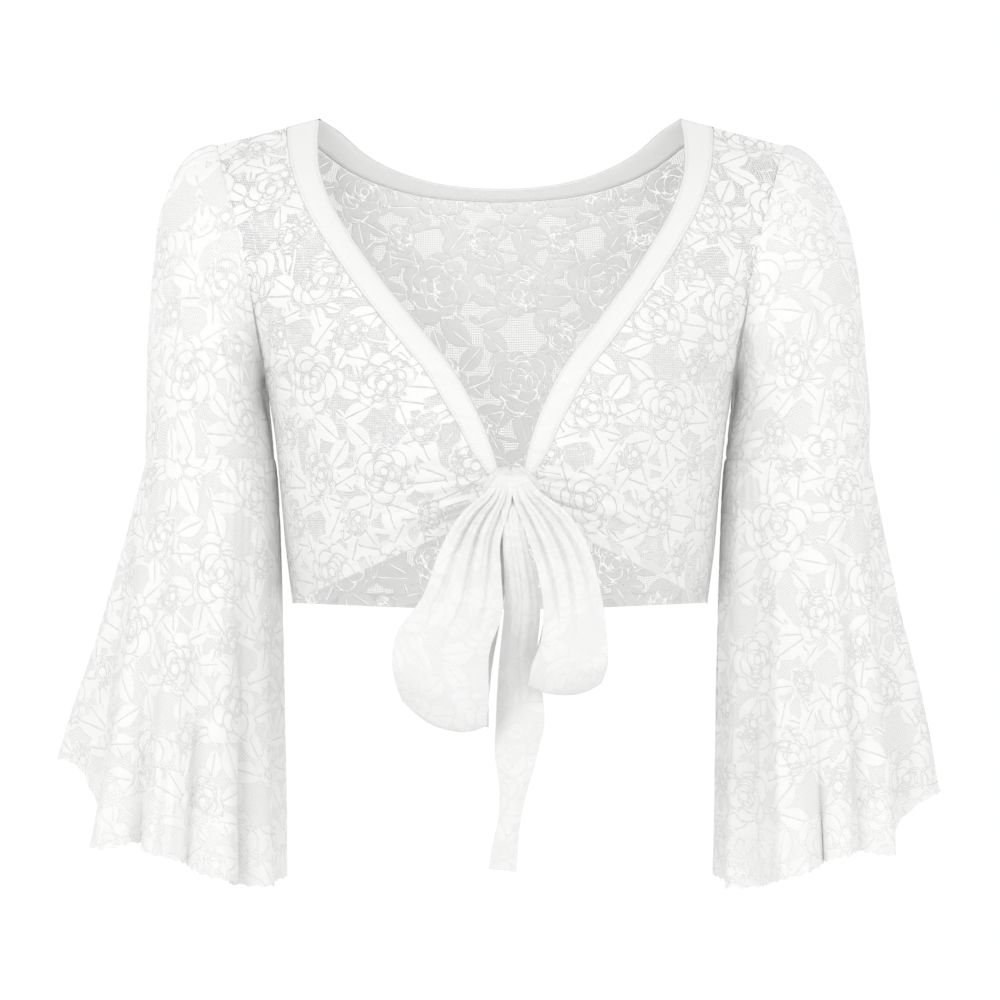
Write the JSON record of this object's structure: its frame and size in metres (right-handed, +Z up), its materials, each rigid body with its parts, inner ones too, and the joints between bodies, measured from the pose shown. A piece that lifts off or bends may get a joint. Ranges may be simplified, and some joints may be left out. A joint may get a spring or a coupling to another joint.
{
  "type": "bolero jacket",
  "caption": "Cropped lace bolero jacket with a low V neck, a front tied in a limp bow and flared bell sleeves, held out in its worn shape.",
  "frame": {"origin": "midway between the shoulders, about level with the neck ends of the shoulder seams", "axes": "+Z up, -Y out of the garment's front, +X towards the wearer's left"},
  "size_m": [0.5742, 0.2603, 0.4967],
  "materials": {
    "lace": "white stretch lace with roses on a fine net",
    "neckband": "plain white knitted band, matte",
    "tie": "soft white lace tie, matte"
  },
  "bodies": {
    "root": {"back_panel": "lace", "front_left": "lace", "front_right": "lace", "sleeve_left": "lace", "sleeve_right": "lace", "bell_left": "lace", "bell_right": "lace", "neckband_left": "neckband", "neckband_right": "neckband", "neckband_back": "neckband", "knot": "tie", "loop_left": "tie", "loop_right": "tie", "end_front": "tie", "end_back": "tie"}
  },
  "joints": []
}
